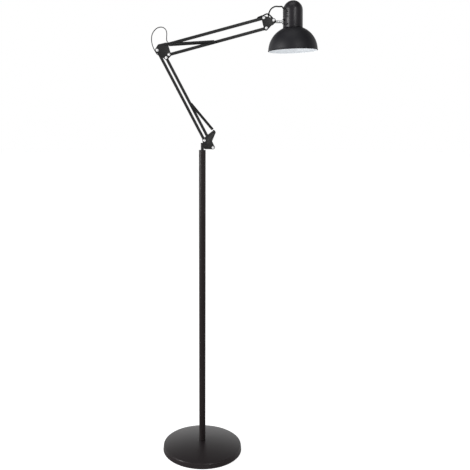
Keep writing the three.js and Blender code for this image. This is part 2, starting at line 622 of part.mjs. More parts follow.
function shadeRing() {
  const top = shadeAt(RING_RADIUS, SHADE_WALL) - GAP;
  return inHead(turned([
    [HOLDER_RADIUS + SLIDE, top - RING_HEIGHT], [RING_RADIUS - 1, top - RING_HEIGHT],
    [RING_RADIUS, top - RING_HEIGHT + 1], [RING_RADIUS, top], [HOLDER_RADIUS + SLIDE, top],
  ], 24));
}

function collar() {
  const start = STEM_END - HEAD_PIVOT_X + SLIDE;
  const tip = start + COLLAR_LENGTH;
  const reach = HEAD_AXIS - HOLDER_RADIUS - GAP;
  return alongX(turned([
    [0, start], [COLLAR_RADIUS - 1, start], [COLLAR_RADIUS, start + 1], [COLLAR_RADIUS, start + 3],
    [COLLAR_TIP_RADIUS, tip], [SPIGOT_RADIUS, tip], [SPIGOT_RADIUS, reach], [0, reach],
  ], 20));
}

const contactTop = HOLDER_BOTTOM + SOCKET_DEPTH - GAP;
const inFrame = (name, shape, material) => add(name, shape, material, [0, 0], 0, head);
inFrame('swivel_collar', collar(), CHROME);
inFrame('cap', capShell(), BLACK_PLASTIC);
inFrame('shade', shade(), BLACK_PAINT);
inFrame('lampholder', lampholder(), PHENOLIC);
inFrame('shade_ring', shadeRing(), PHENOLIC);
inFrame('lampholder_contact',
  inHead(rod(CONTACT_RADIUS, contactTop - CONTACT_HEIGHT, contactTop, 16)), BRASS);
inFrame('cable_boot', boot(0), RUBBER);

// ---------------------------------------------------------------- cables
const onBar = (start, way, along, out) => [
  start[0] + way[0] * along - way[1] * out, 0, start[1] + way[1] * along + way[0] * out,
];

const beside = ([x, z], points) => points.map(([dx, y, dz]) => [x + dx, y, z + dz]);

// The flat flex leaves the lower rear bar's back, loops over the elbow and drops into the
// upper arm's top bar.
const elbowLoop = [
  onBar(lowerRear, LOWER_WAY, ELBOW_EXIT - 2, 2.2),
  onBar(lowerRear, LOWER_WAY, ELBOW_EXIT + 2, BAR / 2 + 1.5),
  ...beside(elbowRear, [
    [-7, 0, -2.5], [-12, 0, 7], [-16.4, 0, 20], [-18, 0, 35], [-15.6, 0, 49], [-8.5, 0, 60.5],
    [2, 0, 68.5], [15, 0, 70.5], [25.5, 0, 65], [30, 0, 54], [29.6, 0, 40], [30, 0, 30],
  ]),
  onBar(elbowTop, UPPER_WAY, ELBOW_ENTRY - 1.5, BAR / 2 + 2),
  onBar(elbowTop, UPPER_WAY, ELBOW_ENTRY + 1, 2),
];

// The sleeved flex leaves the top bar, dips behind the head bracket and rises into the cap.
head.updateMatrixWorld(true);
const bootMouth = new THREE.Vector3(...BOOT_POINT)
  .addScaledVector(BOOT_ALONG, -BOOT_OUT - 2 * GAP).applyMatrix4(head.matrixWorld);
const headLoop = [
  onBar(elbowTop, UPPER_WAY, HEAD_EXIT - 2, 2.2),
  onBar(elbowTop, UPPER_WAY, HEAD_EXIT + 3, BAR / 2 + 1.5),
  ...beside(headLow, [
    [-10.4, 4, 38.3], [3.6, 9, 44.3], [15.6, 13.5, 37.8], [24.1, 15, 27.3], [25.6, 15, 18.3],
    [19.1, 15, 12.8], [11.1, 15.5, 18.8], [8.2, 15.5, 31.8], [9.2, 15, 46.8], [14, 12, 57.6],
    [21, 7, 63.4], [29, 1, 65.4], [38.4, -5, 64],
  ]),
  bootMouth.clone().addScaledVector(BOOT_ALONG, -4).toArray(), bootMouth.toArray(),
];

add('elbow_cable', strand(elbowLoop, FLEX_WIDE, FLEX_THICK, 30), RUBBER);
add('head_cable', strand(headLoop, 2 * CABLE_RADIUS, 2 * CABLE_RADIUS, 40), RUBBER);

export default lamp;
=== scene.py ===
# Adjustable arm floor lamp: weighted round base, slim pole, two spring-balanced
# parallelogram arms and a tilting domed shade with a vented cap. Metres, +Z up.
import math

import bpy
from mathutils import Matrix, Vector
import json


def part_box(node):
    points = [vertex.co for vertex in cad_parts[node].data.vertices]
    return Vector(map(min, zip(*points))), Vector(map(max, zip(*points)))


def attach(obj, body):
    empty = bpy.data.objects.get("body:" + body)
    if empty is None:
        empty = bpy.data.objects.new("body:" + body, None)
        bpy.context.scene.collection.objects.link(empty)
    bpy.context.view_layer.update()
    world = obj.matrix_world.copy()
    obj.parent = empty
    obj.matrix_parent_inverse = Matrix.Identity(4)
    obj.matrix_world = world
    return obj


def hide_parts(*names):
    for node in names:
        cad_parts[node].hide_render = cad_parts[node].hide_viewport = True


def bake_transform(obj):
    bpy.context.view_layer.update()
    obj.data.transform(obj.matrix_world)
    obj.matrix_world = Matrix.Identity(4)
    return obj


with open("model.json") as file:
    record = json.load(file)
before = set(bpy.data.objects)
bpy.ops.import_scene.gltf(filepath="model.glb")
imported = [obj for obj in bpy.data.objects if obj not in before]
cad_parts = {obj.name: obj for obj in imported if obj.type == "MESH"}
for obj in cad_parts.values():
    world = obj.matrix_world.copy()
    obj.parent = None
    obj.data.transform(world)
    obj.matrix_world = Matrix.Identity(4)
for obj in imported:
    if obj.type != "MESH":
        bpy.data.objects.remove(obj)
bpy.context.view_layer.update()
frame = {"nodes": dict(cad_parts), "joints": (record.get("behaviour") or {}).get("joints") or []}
scene = bpy.context.scene
joint = {j["name"]: Vector(j["pos_m"]) for j in frame["joints"]}
MM = 0.001
scene.view_settings.view_transform = "Standard"


# ------------------------------------------------------------------ camera
CAMERA_PLACE = (0.0, -2.066, 1.154)
CAMERA_PITCH = 10.5
CAMERA_LENS = 48.33
CAMERA_SHIFT = 0.0695


def camera():
    data = bpy.data.cameras.new("camera")
    data.sensor_width = 36
    data.lens = CAMERA_LENS
    data.shift_x = CAMERA_SHIFT
    data.clip_end = 60
    eye = bpy.data.objects.new("camera", data)
    eye.location = CAMERA_PLACE
    eye.rotation_euler = (math.radians(90 - CAMERA_PITCH), 0, 0)
    scene.collection.objects.link(eye)
    scene.camera = eye


camera()


# ------------------------------------------------------------------ sizes
BASE_RADIUS = 138 * MM
BASE_RIM = 20 * MM
BASE_RISE = 13.5 * MM
BASE_EDGE = 3 * MM
BASE_DRAFT = 1.5 * MM
COVER_WALL = 2 * MM
COVER_LIFT = 1 * MM
POLE_RADIUS = 11 * MM
POLE_WALL = 1.5 * MM
BAR = 9 * MM
BAR_WALL = 1 * MM
BAR_END = 4.4 * MM
PLATE_IN = 5.1 * MM  # inner face of the stamped plates, from the arm's middle plane
PLATE_OUT = 6.7 * MM
NUT_FACE = 7 * MM
WIRE = 0.55 * MM  # radius of the spring wire
SPRING_RADIUS = 4.4 * MM
SPRING_LINE = 9.7 * MM
PIN_END = 13.3 * MM
SPRING_HOOK = 9 * MM
HEAD_LEAN = math.radians(1.5)
HEAD_AXIS = 31.6 * MM
CAP_RADIUS = 31 * MM
CAP_TOP = 63 * MM
CAP_WALL = 1.6 * MM
SHADE_RADIUS = 77.4 * MM
SHADE_HEIGHT = 74.7 * MM
SHADE_WALL = 1 * MM
SHADE_RIM = -88.4 * MM
HOLDER_RADIUS = 20 * MM


def middle(node):
    low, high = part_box(node)
    return (low + high) / 2


def flat(point):
    return Vector((point.x, 0, point.z))


lower_rear = joint["lower_arm"]
lower_front = joint["lower_arm_front_bar"]
elbow_rear = joint["elbow_link"]
elbow_low = joint["upper_arm_low_bar"]
elbow_top = joint["upper_arm"]
head_top = joint["head_link"]
tilt_pivot = joint["head_tilt"]
head_place = joint["head_roll"]
elbow_front = flat(middle("elbow_front_pivot_bolt"))
head_low = flat(middle("head_low_pivot_bolt"))
ear = flat(middle("bracket_spring_pin_front"))
lower_pin = flat(middle("lower_spring_pin"))
upper_pin = flat(middle("upper_spring_pin"))


# ------------------------------------------------------------------ shader groups
def new_group(name, inputs, outputs):
    tree = bpy.data.node_groups.new(name, "ShaderNodeTree")
    for label, value in inputs:
        socket = tree.interface.new_socket(label, in_out="INPUT", socket_type="NodeSocketFloat")
        socket.default_value = value
    for label in outputs:
        tree.interface.new_socket(label, in_out="OUTPUT", socket_type="NodeSocketFloat")
    return tree, tree.nodes.new("NodeGroupInput"), tree.nodes.new("NodeGroupOutput")


def noise_at(tree, scale, detail, rough=0.5):
    place = tree.nodes.new("ShaderNodeTexCoord")
    noise = tree.nodes.new("ShaderNodeTexNoise")
    noise.inputs["Detail"].default_value = detail
    noise.inputs["Roughness"].default_value = rough
    tree.links.new(place.outputs["Object"], noise.inputs["Vector"])
    if isinstance(scale, (int, float)):
        noise.inputs["Scale"].default_value = scale
    else:
        tree.links.new(scale, noise.inputs["Scale"])
    return noise


def math_node(tree, operation, a, b, clamp=False):
    node = tree.nodes.new("ShaderNodeMath")
    node.operation = operation
    node.use_clamp = clamp
    for slot, value in ((0, a), (1, b)):
        if isinstance(value, (int, float)):
            node.inputs[slot].default_value = value
        else:
            tree.links.new(value, node.inputs[slot])
    return node.outputs[0]


# Fine even texture of sprayed or moulded surfaces.
def make_grain():
    tree, given, result = new_group("fine_grain", [("Scale", 2500)], ["Height"])
    noise = noise_at(tree, given.outputs["Scale"], 2.5)
    tree.links.new(noise.outputs["Fac"], result.inputs["Height"])
    return tree


# Soft patches from handling and dust, with thin marks among them.
def make_handling():
    tree, given, result = new_group("handling", [("Patch", 14), ("Marks", 0.3)], ["Mask"])
    patch = noise_at(tree, given.outputs["Patch"], 4, 0.6)
    marks = noise_at(tree, 260, 5, 0.7)
    thin = math_node(tree, "SUBTRACT", marks.outputs["Fac"], 0.56, True)
    thin = math_node(tree, "MULTIPLY", thin, 6, True)
    thin = math_node(tree, "MULTIPLY", thin, given.outputs["Marks"])
    mask = math_node(tree, "ADD", patch.outputs["Fac"], thin, True)
    tree.links.new(mask, result.inputs["Mask"])
    return tree


GRAIN = make_grain()
HANDLING = make_handling()


def grouped(tree, group, **values):
    node = tree.nodes.new("ShaderNodeGroup")
    node.node_tree = group
    for label, value in values.items():
        node.inputs[label].default_value = value
    return node


# A finish whose colour and roughness run between two values as the surface is handled.
# Grain is its scale in features per metre, and depth its height in millimetres.
def finish(name, dark, light, sheen, metallic=0.0, grain=2500, depth=0.03, patch=14, marks=0.3,
           coat=0.0, coat_roughness=0.1, ior=1.5):
    material = bpy.data.materials.new(name)
    material.use_nodes = True
    tree = material.node_tree
    shader = tree.nodes["Principled BSDF"]
    shader.inputs["Metallic"].default_value = metallic
    shader.inputs["IOR"].default_value = ior
    shader.inputs["Coat Weight"].default_value = coat
    shader.inputs["Coat Roughness"].default_value = coat_roughness
    handled = grouped(tree, HANDLING, Patch=patch, Marks=marks)
    mix = tree.nodes.new("ShaderNodeMix")
    mix.data_type = "RGBA"
    mix.inputs["A"].default_value = (*dark, 1)
    mix.inputs["B"].default_value = (*light, 1)
    tree.links.new(handled.outputs["Mask"], mix.inputs["Factor"])
    tree.links.new(mix.outputs["Result"], shader.inputs["Base Color"])
    spread = tree.nodes.new("ShaderNodeMapRange")
    spread.inputs["To Min"].default_value, spread.inputs["To Max"].default_value = sheen
    tree.links.new(handled.outputs["Mask"], spread.inputs["Value"])
    tree.links.new(spread.outputs["Result"], shader.inputs["Roughness"])
    fine = grouped(tree, GRAIN, Scale=grain)
    bump = tree.nodes.new("ShaderNodeBump")
    bump.inputs["Strength"].default_value = 0.6
    bump.inputs["Distance"].default_value = depth * MM
    tree.links.new(fine.outputs["Height"], bump.inputs["Height"])
    tree.links.new(bump.outputs["Normal"], shader.inputs["Normal"])
    return material


def grey(value):
    return (value, value, value * 1.03)


ARM_PAINT = finish("satin_black_paint", grey(0.010), grey(0.015), (0.44, 0.54))
POLE_PAINT = finish("pole_black_paint", (0.014, 0.010, 0.010), (0.019, 0.014, 0.014), (0.34, 0.42),
                    depth=0.02)
BASE_PAINT = finish("base_black_paint", (0.021, 0.016, 0.0175), (0.028, 0.022, 0.024), (0.3, 0.4),
                    grain=900, depth=0.015, patch=7, marks=0.15, coat=0.3, coat_roughness=0.2)
SHADE_PAINT = finish("shade_charcoal_paint", (0.007, 0.0068, 0.0098), (0.010, 0.0097, 0.0135),
                     (0.5, 0.58), grain=1800, depth=0.01, patch=5, marks=0.05)
SHADE_WHITE = finish("shade_white_lining", (0.74, 0.77, 0.80), (0.82, 0.84, 0.86), (0.28, 0.4),
                     depth=0.02, marks=0.1)
CAP_PLASTIC = finish("cap_moulded_plastic", (0.014, 0.0125, 0.0155), (0.018, 0.016, 0.0195),
                     (0.34, 0.4), depth=0.002, marks=0.05)
PLASTIC = finish("black_plastic", grey(0.009), grey(0.013), (0.4, 0.52))
RUBBER = finish("black_rubber", grey(0.012), grey(0.018), (0.6, 0.75), grain=1200, depth=0.05)
SPRING_STEEL = finish("oiled_spring_steel", grey(0.014), grey(0.024), (0.38, 0.5), metallic=0.2,
                      depth=0.01)
NICKEL = finish("nickel_plate", (0.90, 0.90, 0.91), (0.95, 0.95, 0.95), (0.42, 0.52), metallic=0.3,
                depth=0.004)
CHROME = finish("bright_chrome", (0.88, 0.89, 0.90), (0.93, 0.94, 0.94), (0.24, 0.32),
                metallic=0.75, depth=0.002)
CAST_IRON = finish("cast_iron", (0.05, 0.047, 0.043), (0.11, 0.10, 0.09), (0.7, 0.9), metallic=0.4,
                   grain=500, depth=0.3)
ZINC = finish("zinc_plate", (0.5, 0.51, 0.52), (0.62, 0.63, 0.64), (0.3, 0.45), metallic=1)
PAD = finish("foam_pad", grey(0.012), grey(0.022), (0.85, 0.95), grain=700, depth=0.3)
PHENOLIC = finish("brown_phenolic", (0.017, 0.014, 0.012), (0.024, 0.019, 0.016), (0.28, 0.38),
                  depth=0.005)
BRASS = finish("brass", (0.62, 0.45, 0.18), (0.75, 0.57, 0.26), (0.18, 0.34), metallic=1)
FLEX = finish("flex_sheath", grey(0.004), grey(0.007), (0.8, 0.9), grain=1400, depth=0.02, ior=1.35)


# ------------------------------------------------------------------ modelling helpers
def deselected():
    bpy.ops.object.select_all(action="DESELECT")


def in_hand(piece):
    deselected()
    piece.select_set(True)
    bpy.context.view_layer.objects.active = piece


def named(name):
    piece = bpy.context.object
    piece.name = piece.data.name = name
    return piece


def editing(piece):
    in_hand(piece)
    bpy.ops.object.mode_set(mode="EDIT")
    bpy.ops.mesh.select_all(action="SELECT")


def done():
    bpy.ops.object.mode_set(mode="OBJECT")


# Selects the faces of the piece in hand that pass a test on (centre, normal).
def pick_faces(piece, test):
    bpy.ops.mesh.select_mode(type="FACE")
    bpy.ops.mesh.select_all(action="DESELECT")
    bpy.ops.object.mode_set(mode="OBJECT")
    for face in piece.data.polygons:
        face.select = bool(test(face.center, face.normal))
    bpy.ops.object.mode_set(mode="EDIT")


def apply_modifiers(piece):
    bpy.context.view_layer.objects.active = piece
    for modifier in list(piece.modifiers):
        bpy.ops.object.modifier_apply(modifier=modifier.name)


def bevelled(piece, width, segments=2, angle=35):
    modifier = piece.modifiers.new("bevel", "BEVEL")
    modifier.width = width
    modifier.segments = segments
    modifier.limit_method = "ANGLE"
    modifier.angle_limit = math.radians(angle)
    modifier.use_clamp_overlap = True
    apply_modifiers(piece)


def smoothed(piece, angle=35):
    in_hand(piece)
    bpy.ops.object.shade_smooth_by_angle(angle=math.radians(angle))


# Moves a piece by a matrix and puts its place into its mesh.
def settled(piece, matrix=None):
    in_hand(piece)
    if matrix is not None:
        piece.matrix_world = matrix @ piece.matrix_world
    bpy.ops.object.transform_apply(location=True, rotation=True, scale=True)


def cut_out(piece, tool, operation="DIFFERENCE"):
    modifier = piece.modifiers.new("boolean", "BOOLEAN")
    modifier.operation = operation
    modifier.solver = "EXACT"
    modifier.object = tool
    apply_modifiers(piece)
    bpy.data.objects.remove(tool)


def painted(piece, *materials):
    piece.data.materials.clear()
    for material in materials:
        piece.data.materials.append(material)


def fitted(piece, body, material, slot, *nodes, angle=35):
    painted(piece, material)
    smoothed(piece, angle)
    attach(piece, body)
    if nodes:
        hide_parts(*nodes)


# A flexible piece, painted and smoothed, with its place put into its mesh; its frame part is hidden.
def flexed(piece, material, node):
    painted(piece, material)
    smoothed(piece, 60)
    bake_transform(piece)
    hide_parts(node)


# A body turned about Z from (radius, height) points, ring by ring. A ring of no radius closes it.
def turned(name, profile, sides=48, closed=False):
    deselected()
    points = list(profile)
    start_closed = points[0][0] == 0
    if start_closed:
        points = points[1:]
    radius, height = points[0]
    bpy.ops.mesh.primitive_circle_add(vertices=sides, radius=radius, location=(0, 0, height),
                                      fill_type="NGON" if start_closed else "NOTHING")
    piece = named(name)
    settled(piece)
    editing(piece)
    bpy.ops.mesh.select_mode(type="EDGE")
    if start_closed:
        bpy.ops.mesh.select_all(action="DESELECT")
        bpy.ops.mesh.select_non_manifold()
    for next_radius, next_height in points[1:]:
        bpy.ops.mesh.extrude_region_move(
            TRANSFORM_OT_translate={"value": (0, 0, next_height - height)})
        if next_radius == 0:
            bpy.ops.mesh.merge(type="CENTER")
            break
        scale = next_radius / radius
        bpy.ops.transform.resize(value=(scale, scale, 1), center_override=(0, 0, next_height))
        radius, height = next_radius, next_height
    if closed:
        bpy.ops.mesh.select_all(action="DESELECT")
        bpy.ops.mesh.select_non_manifold()
        bpy.ops.mesh.bridge_edge_loops()
    bpy.ops.mesh.select_all(action="SELECT")
    bpy.ops.mesh.remove_doubles(threshold=1e-6)
    bpy.ops.mesh.normals_make_consistent(inside=False)
    done()
    return piece


def arc(cx, cz, radius, start, end, steps):
    angles = [math.radians(start + (end - start) * i / steps) for i in range(steps + 1)]
    return [(cx + radius * math.cos(a), cz + radius * math.sin(a)) for a in angles]


def tube(name, inner, outer, low, high, edge, sides=64):
    return turned(name, [
        (inner, low + edge), (inner + edge, low), (outer - edge, low), (outer, low + edge),
        (outer, high - edge), (outer - edge, high), (inner + edge, high), (inner, high - edge),
    ], sides, closed=True)


TO_Y = Matrix.Rotation(math.radians(-90), 4, "X")  # a body along +Z turned to lie along +Y
TO_X = Matrix.Rotation(math.radians(90), 4, "Y")  # and along +X


def shifted(point):
    return Matrix.Translation(point)


# A flat part wrapped round circles (point, radius), from y0 to y1.
def wrapped(name, circles, y0, y1):
    deselected()
    piece = None
    for point, radius in circles:
        bpy.ops.mesh.primitive_cylinder_add(
            vertices=40, radius=radius, depth=y1 - y0,
            location=(point.x, (y0 + y1) / 2, point.z), rotation=(math.radians(90), 0, 0))
        if piece is None:
            piece = named(name)
            settled(piece)
            editing(piece)
    bpy.ops.mesh.select_all(action="SELECT")
    bpy.ops.mesh.convex_hull()
    bpy.ops.mesh.select_all(action="SELECT")
    bpy.ops.mesh.dissolve_limited(angle_limit=math.radians(2))
    bpy.ops.mesh.normals_make_consistent(inside=False)
    done()
    return piece


def copied(piece, name, matrix):
    other = piece.copy()
    other.data = piece.data.copy()
    other.name = other.data.name = name
    scene.collection.objects.link(other)
    settled(other, matrix)
    return other


def mirrored(piece, name):
    other = copied(piece, name, Matrix.Scale(-1, 4, (0, 1, 0)))
    editing(other)
    bpy.ops.mesh.normals_make_consistent(inside=False)
    done()
    return other


# ------------------------------------------------------------------ base
def dome_at(radius):
    return BASE_RIM + BASE_RISE * (1 - (radius / (BASE_RADIUS - BASE_EDGE)) ** 2)


def base_cover():
    edge = BASE_RADIUS - BASE_DRAFT - BASE_EDGE
    edge_height = BASE_RIM - BASE_EDGE
    hole = POLE_RADIUS - 5.4 * MM
    rings = [edge * (1 - i / 12) for i in range(1, 12)]
    outside = [(BASE_RADIUS - 0.6 * MM, COVER_LIFT), (BASE_RADIUS, COVER_LIFT + 0.6 * MM)]
    outside += arc(edge, edge_height, BASE_EDGE, 0, 84, 8)
    outside += [(r, dome_at(r)) for r in rings] + [(hole, dome_at(hole))]
    inside = [(hole, dome_at(hole) - COVER_WALL)]
    inside += [(r, dome_at(r) - COVER_WALL) for r in reversed(rings)]
    inside += arc(edge, edge_height, BASE_EDGE - COVER_WALL, 84, 0, 4)
    inside += [(BASE_RADIUS - COVER_WALL, COVER_LIFT)]
    piece = turned("base_cover_pressed", outside + inside, 144, closed=True)
    gland = middle("cable_gland")
    bpy.ops.mesh.primitive_cylinder_add(vertices=32, radius=4.8 * MM, depth=24 * MM,
                                        location=(0, BASE_RADIUS, gland.z),
                                        rotation=(math.radians(90), 0, 0))
    cut_out(piece, bpy.context.object)
    fitted(piece, "stand", BASE_PAINT, "base_paint", "base_cover", angle=25)


def base_pad():
    low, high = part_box("base_floor_pad")
    radius, thick = high.x, high.z
    piece = turned("base_foam_pad", [(0, 0), (radius - 0.5 * MM, 0), (radius, 0.5 * MM),
                                     (radius, thick - 0.3 * MM), (radius - 0.3 * MM, thick),
                                     (0, thick)], 96)
    fitted(piece, "stand", PAD, "pad", "base_floor_pad")


def cable_gland():
    low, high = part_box("cable_gland")
    height = (low.z + high.z) / 2
    out = high.y
    ribs = []
    for i in range(2):
        y = out - 2.6 * MM + i * 1.2 * MM
        ribs += [(4.4 * MM, y), (4.4 * MM, y + 0.5 * MM), (3.7 * MM, y + 0.7 * MM),
                 (3.7 * MM, y + 1.0 * MM)]
    profile = [(2.4 * MM, low.y), (6 * MM, low.y), (6 * MM, BASE_RADIUS - 5.3 * MM),
               (4.4 * MM, BASE_RADIUS - 5.1 * MM)]
    profile += ribs + [(3.5 * MM, out), (2.6 * MM, out), (2.4 * MM, out - 0.3 * MM)]
    piece = turned("cable_gland_ribbed", profile, 32, closed=True)
    settled(piece, shifted((0, 0, height)) @ TO_Y)
    fitted(piece, "stand", RUBBER, "black_plastic", "cable_gland")


# ------------------------------------------------------------------ pole
def pole():
    for node, name in (("pole_lower_tube", "pole_lower"), ("pole_upper_tube", "pole_upper")):
        low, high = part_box(node)
        piece = tube(name, POLE_RADIUS - POLE_WALL, POLE_RADIUS, low.z, high.z, 0.25 * MM, 96)
        fitted(piece, "stand", POLE_PAINT, "black_paint", node)
    low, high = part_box("pole_top_bush")
    bore = 5.3 * MM
    under = high.z - 1.6 * MM
    piece = turned("pole_bush", [
        (bore, low.z), (9.2 * MM, low.z), (9.2 * MM, under), (POLE_RADIUS - 0.2 * MM, under),
        (POLE_RADIUS, under + 0.2 * MM), (POLE_RADIUS, high.z - 0.5 * MM),
        (POLE_RADIUS - 0.5 * MM, high.z), (bore + 0.3 * MM, high.z), (bore, high.z - 0.3 * MM),
    ], 64, closed=True)
    fitted(piece, "stand", PLASTIC, "black_plastic", "pole_top_bush")


# ------------------------------------------------------------------ swivel bracket
def plate_pair(names, nodes, circles, body, extra=None):
    piece = wrapped(names[0], circles, -PLATE_OUT, -PLATE_IN)
    if extra:
        cut_out(piece, wrapped("wing", extra, -PLATE_OUT, -PLATE_IN), "UNION")
        editing(piece)
        bpy.ops.mesh.remove_doubles(threshold=1e-5)
        bpy.ops.mesh.dissolve_limited(angle_limit=math.radians(2))
        done()
    bevelled(piece, 0.35 * MM, 2, 50)
    other = mirrored(piece, names[1])
    for part, node in ((piece, nodes[0]), (other, nodes[1])):
        fitted(part, body, ARM_PAINT, "black_paint", node, angle=30)


def around(point, dx, dz):
    return Vector((point.x + dx * MM, 0, point.z + dz * MM))


def swivel_bracket():
    waist = around(lower_rear, 16.5, -3)
    heel = around(lower_rear, 1.7, -25)
    plate_pair(("bracket_cheek_front", "bracket_cheek_back"),
               ("bracket_plate_front", "bracket_plate_back"),
               [(lower_rear, 7 * MM), (heel, 3 * MM), (lower_front, 6 * MM), (waist, 7.5 * MM)],
               "bracket", [(lower_rear, 7 * MM), (around(ear, -1.2, 3.2), 1.5 * MM), (ear, 3.6 * MM),
                           (around(ear, 3.4, -3.4), 1.5 * MM), (waist, 7.5 * MM)])


def bracket_rivet():
    place = middle("bracket_rivet")
    half = [(0, 8.1), (1.4, 8.0), (2.4, 7.7), (3.0, 7.3), (3.2, 7.0), (2, 7.0)]
    profile = [(r * MM, -y * MM) for r, y in half] + [(r * MM, y * MM) for r, y in reversed(half)]
    piece = turned("bracket_rivet_domed", profile, 24)
    settled(piece, shifted(flat(place)) @ TO_Y)
    fitted(piece, "bracket", ARM_PAINT, "black_paint", "bracket_rivet")


# ------------------------------------------------------------------ fasteners
def bolt_shape():
    face, top = -NUT_FACE, -NUT_FACE - 2.6 * MM
    tail = NUT_FACE + 4.6 * MM
    piece = turned("pivot_bolt", [
        (0, tail), (1.5 * MM, tail), (2 * MM, tail - 0.5 * MM), (2 * MM, face),
        (4 * MM, face), (4.2 * MM, face - 0.2 * MM), (4.2 * MM, face - 0.9 * MM),
        (3.95 * MM, face - 1.5 * MM), (3.5 * MM, face - 2.0 * MM), (2.9 * MM, face - 2.4 * MM),
        (2.2 * MM, top), (0, top),
    ], 36)
    deselected()
    bpy.ops.mesh.primitive_cylinder_add(vertices=6, radius=1.5 * MM, depth=2.6 * MM,
                                        location=(0, 0, top))
    cut_out(piece, bpy.context.object)
    settled(piece, TO_Y)
    return piece


def nut_shape():
    low, high = NUT_FACE, NUT_FACE + 3.4 * MM
    deselected()
    bpy.ops.mesh.primitive_cylinder_add(vertices=6, radius=4.2 * MM, depth=high - low,
                                        location=(0, 0, (low + high) / 2))
    piece = named("pivot_nut")
    settled(piece)
    chamfer = turned("chamfer", [
        (0, low - MM), (3.6 * MM, low - 0.2 * MM), (4.25 * MM, low + 0.45 * MM),
        (4.25 * MM, high - 0.6 * MM), (3.4 * MM, high + 0.2 * MM), (0, high + MM)], 36)
    cut_out(piece, chamfer, "INTERSECT")
    deselected()
    bpy.ops.mesh.primitive_cylinder_add(vertices=24, radius=2.2 * MM, depth=12 * MM,
                                        location=(0, 0, low))
    cut_out(piece, bpy.context.object)
    settled(piece, TO_Y)
    return piece


PIVOTS = {
    "lower_rear_pivot": "bracket", "lower_front_pivot": "bracket",
    "elbow_rear_pivot": "elbow", "elbow_front_pivot": "elbow", "elbow_low_pivot": "elbow",
    "head_top_pivot": "head_bracket", "head_low_pivot": "head_bracket", "tilt": "head_bracket",
}


def pivots():
    bolt, nut = bolt_shape(), nut_shape()
    for pivot, body in PIVOTS.items():
        place = flat(middle(f"{pivot}_bolt"))
        for shape, kind in ((bolt, "bolt"), (nut, "nut")):
            piece = copied(shape, f"{pivot}_{kind}_turned", shifted(place))
            fitted(piece, body, NICKEL, "bright_fastener", f"{pivot}_{kind}", angle=28)
    for shape in (bolt, nut):
        bpy.data.objects.remove(shape)


def pin_shape():
    end = PIN_END
    half = [(0, end), (2.2 * MM, end), (2.8 * MM, end - 0.4 * MM), (2.8 * MM, end - MM),
            (1.8 * MM, end - 1.2 * MM)]
    profile = [(r, -y) for r, y in half] + [(r, y) for r, y in reversed(half)]
    piece = turned("spring_pin", profile, 28)
    settled(piece, TO_Y)
    return piece


def stub_pins():
    end = PIN_END
    shape = turned("stub_pin", [
        (0, PLATE_IN), (1.6 * MM, PLATE_IN), (1.8 * MM, PLATE_IN + 0.2 * MM),
        (1.8 * MM, end - 1.2 * MM), (2.8 * MM, end - MM), (2.8 * MM, end - 0.4 * MM),
        (2.2 * MM, end), (0, end)], 28)
    settled(shape, TO_Y)
    for node, turn in (("bracket_spring_pin_back", 0), ("bracket_spring_pin_front", math.pi)):
        piece = copied(shape, f"{node}_turned", shifted(ear) @ Matrix.Rotation(turn, 4, "Z"))
        fitted(piece, "bracket", SPRING_STEEL, "spring_steel", node)
    bpy.data.objects.remove(shape)


def spring_pins():
    shape = pin_shape()
    for node, body, place in (("lower_spring_pin", "lower_front_arm", lower_pin),
                              ("elbow_top_pin", "elbow", elbow_top),
                              ("upper_spring_pin", "upper_low_arm", upper_pin)):
        piece = copied(shape, f"{node}_turned", shifted(place))
        fitted(piece, body, SPRING_STEEL, "spring_steel", node)
    bpy.data.objects.remove(shape)


# ------------------------------------------------------------------ arm bars
# A square tube from one pivot to the next, with cable openings at distances along its back.
def arm_bar(node, body, start, end, openings=()):
    length = (end - start).length
    deselected()
    bpy.ops.mesh.primitive_cube_add(size=1, location=(length / 2, 0, 0),
                                    scale=(length + 2 * BAR_END, BAR, BAR))
    piece = named(f"{node}_tube")
    settled(piece)
    editing(piece)
    pick_faces(piece, lambda centre, normal: abs(normal.x) > 0.9)
    bpy.ops.mesh.delete(type="FACE")
    bpy.ops.mesh.select_mode(type="EDGE")
    bpy.ops.mesh.select_all(action="SELECT")
    bpy.ops.mesh.region_to_loop()
    bpy.ops.mesh.select_all(action="INVERT")
    bpy.ops.mesh.bevel(offset=1.2 * MM, segments=4)
    done()
    modifier = piece.modifiers.new("wall", "SOLIDIFY")
    modifier.thickness = BAR_WALL
    modifier.offset = -1
    apply_modifiers(piece)
    for at in openings:
        deselected()
        bpy.ops.mesh.primitive_cube_add(size=1, location=(at, 0, BAR / 2),
                                        scale=(11 * MM, 5.2 * MM, 3 * MM))
        tool = bpy.context.object
        settled(tool)
        bevelled(tool, 1.2 * MM, 3, 60)
        cut_out(piece, tool)
    way = (end - start).normalized()
    turn = Matrix.Rotation(-math.atan2(way.z, way.x), 4, "Y")
    settled(piece, shifted(start) @ turn)
    fitted(piece, body, ARM_PAINT, "black_paint", node, angle=30)


def arm_bars():
    reach = (elbow_rear - lower_rear).length
    span = (head_low - elbow_low).length
    arm_bar("lower_rear_bar", "lower_rear_arm", lower_rear, elbow_rear, [reach - 13 * MM])
    arm_bar("lower_front_bar", "lower_front_arm", lower_front, elbow_front)
    arm_bar("upper_low_bar", "upper_low_arm", elbow_low, head_low)
    arm_bar("upper_top_bar", "upper_top_arm", elbow_top, head_top, [8 * MM, span - 19 * MM])


def elbow_plates():
    plate_pair(("elbow_cheek_front", "elbow_cheek_back"),
               ("elbow_plate_front", "elbow_plate_back"),
               [(elbow_rear, 7.5 * MM), (around(elbow_rear, 6.5, 12), 6.5 * MM), (elbow_top, 6 * MM),
                (elbow_low, 6.5 * MM), (elbow_front, 6 * MM)], "elbow")


def head_plates():
    plate_pair(("head_cheek_front", "head_cheek_back"), ("head_plate_front", "head_plate_back"),
               [(head_top, 6 * MM), (head_low, 6.5 * MM), (tilt_pivot, 6 * MM)], "head_bracket")


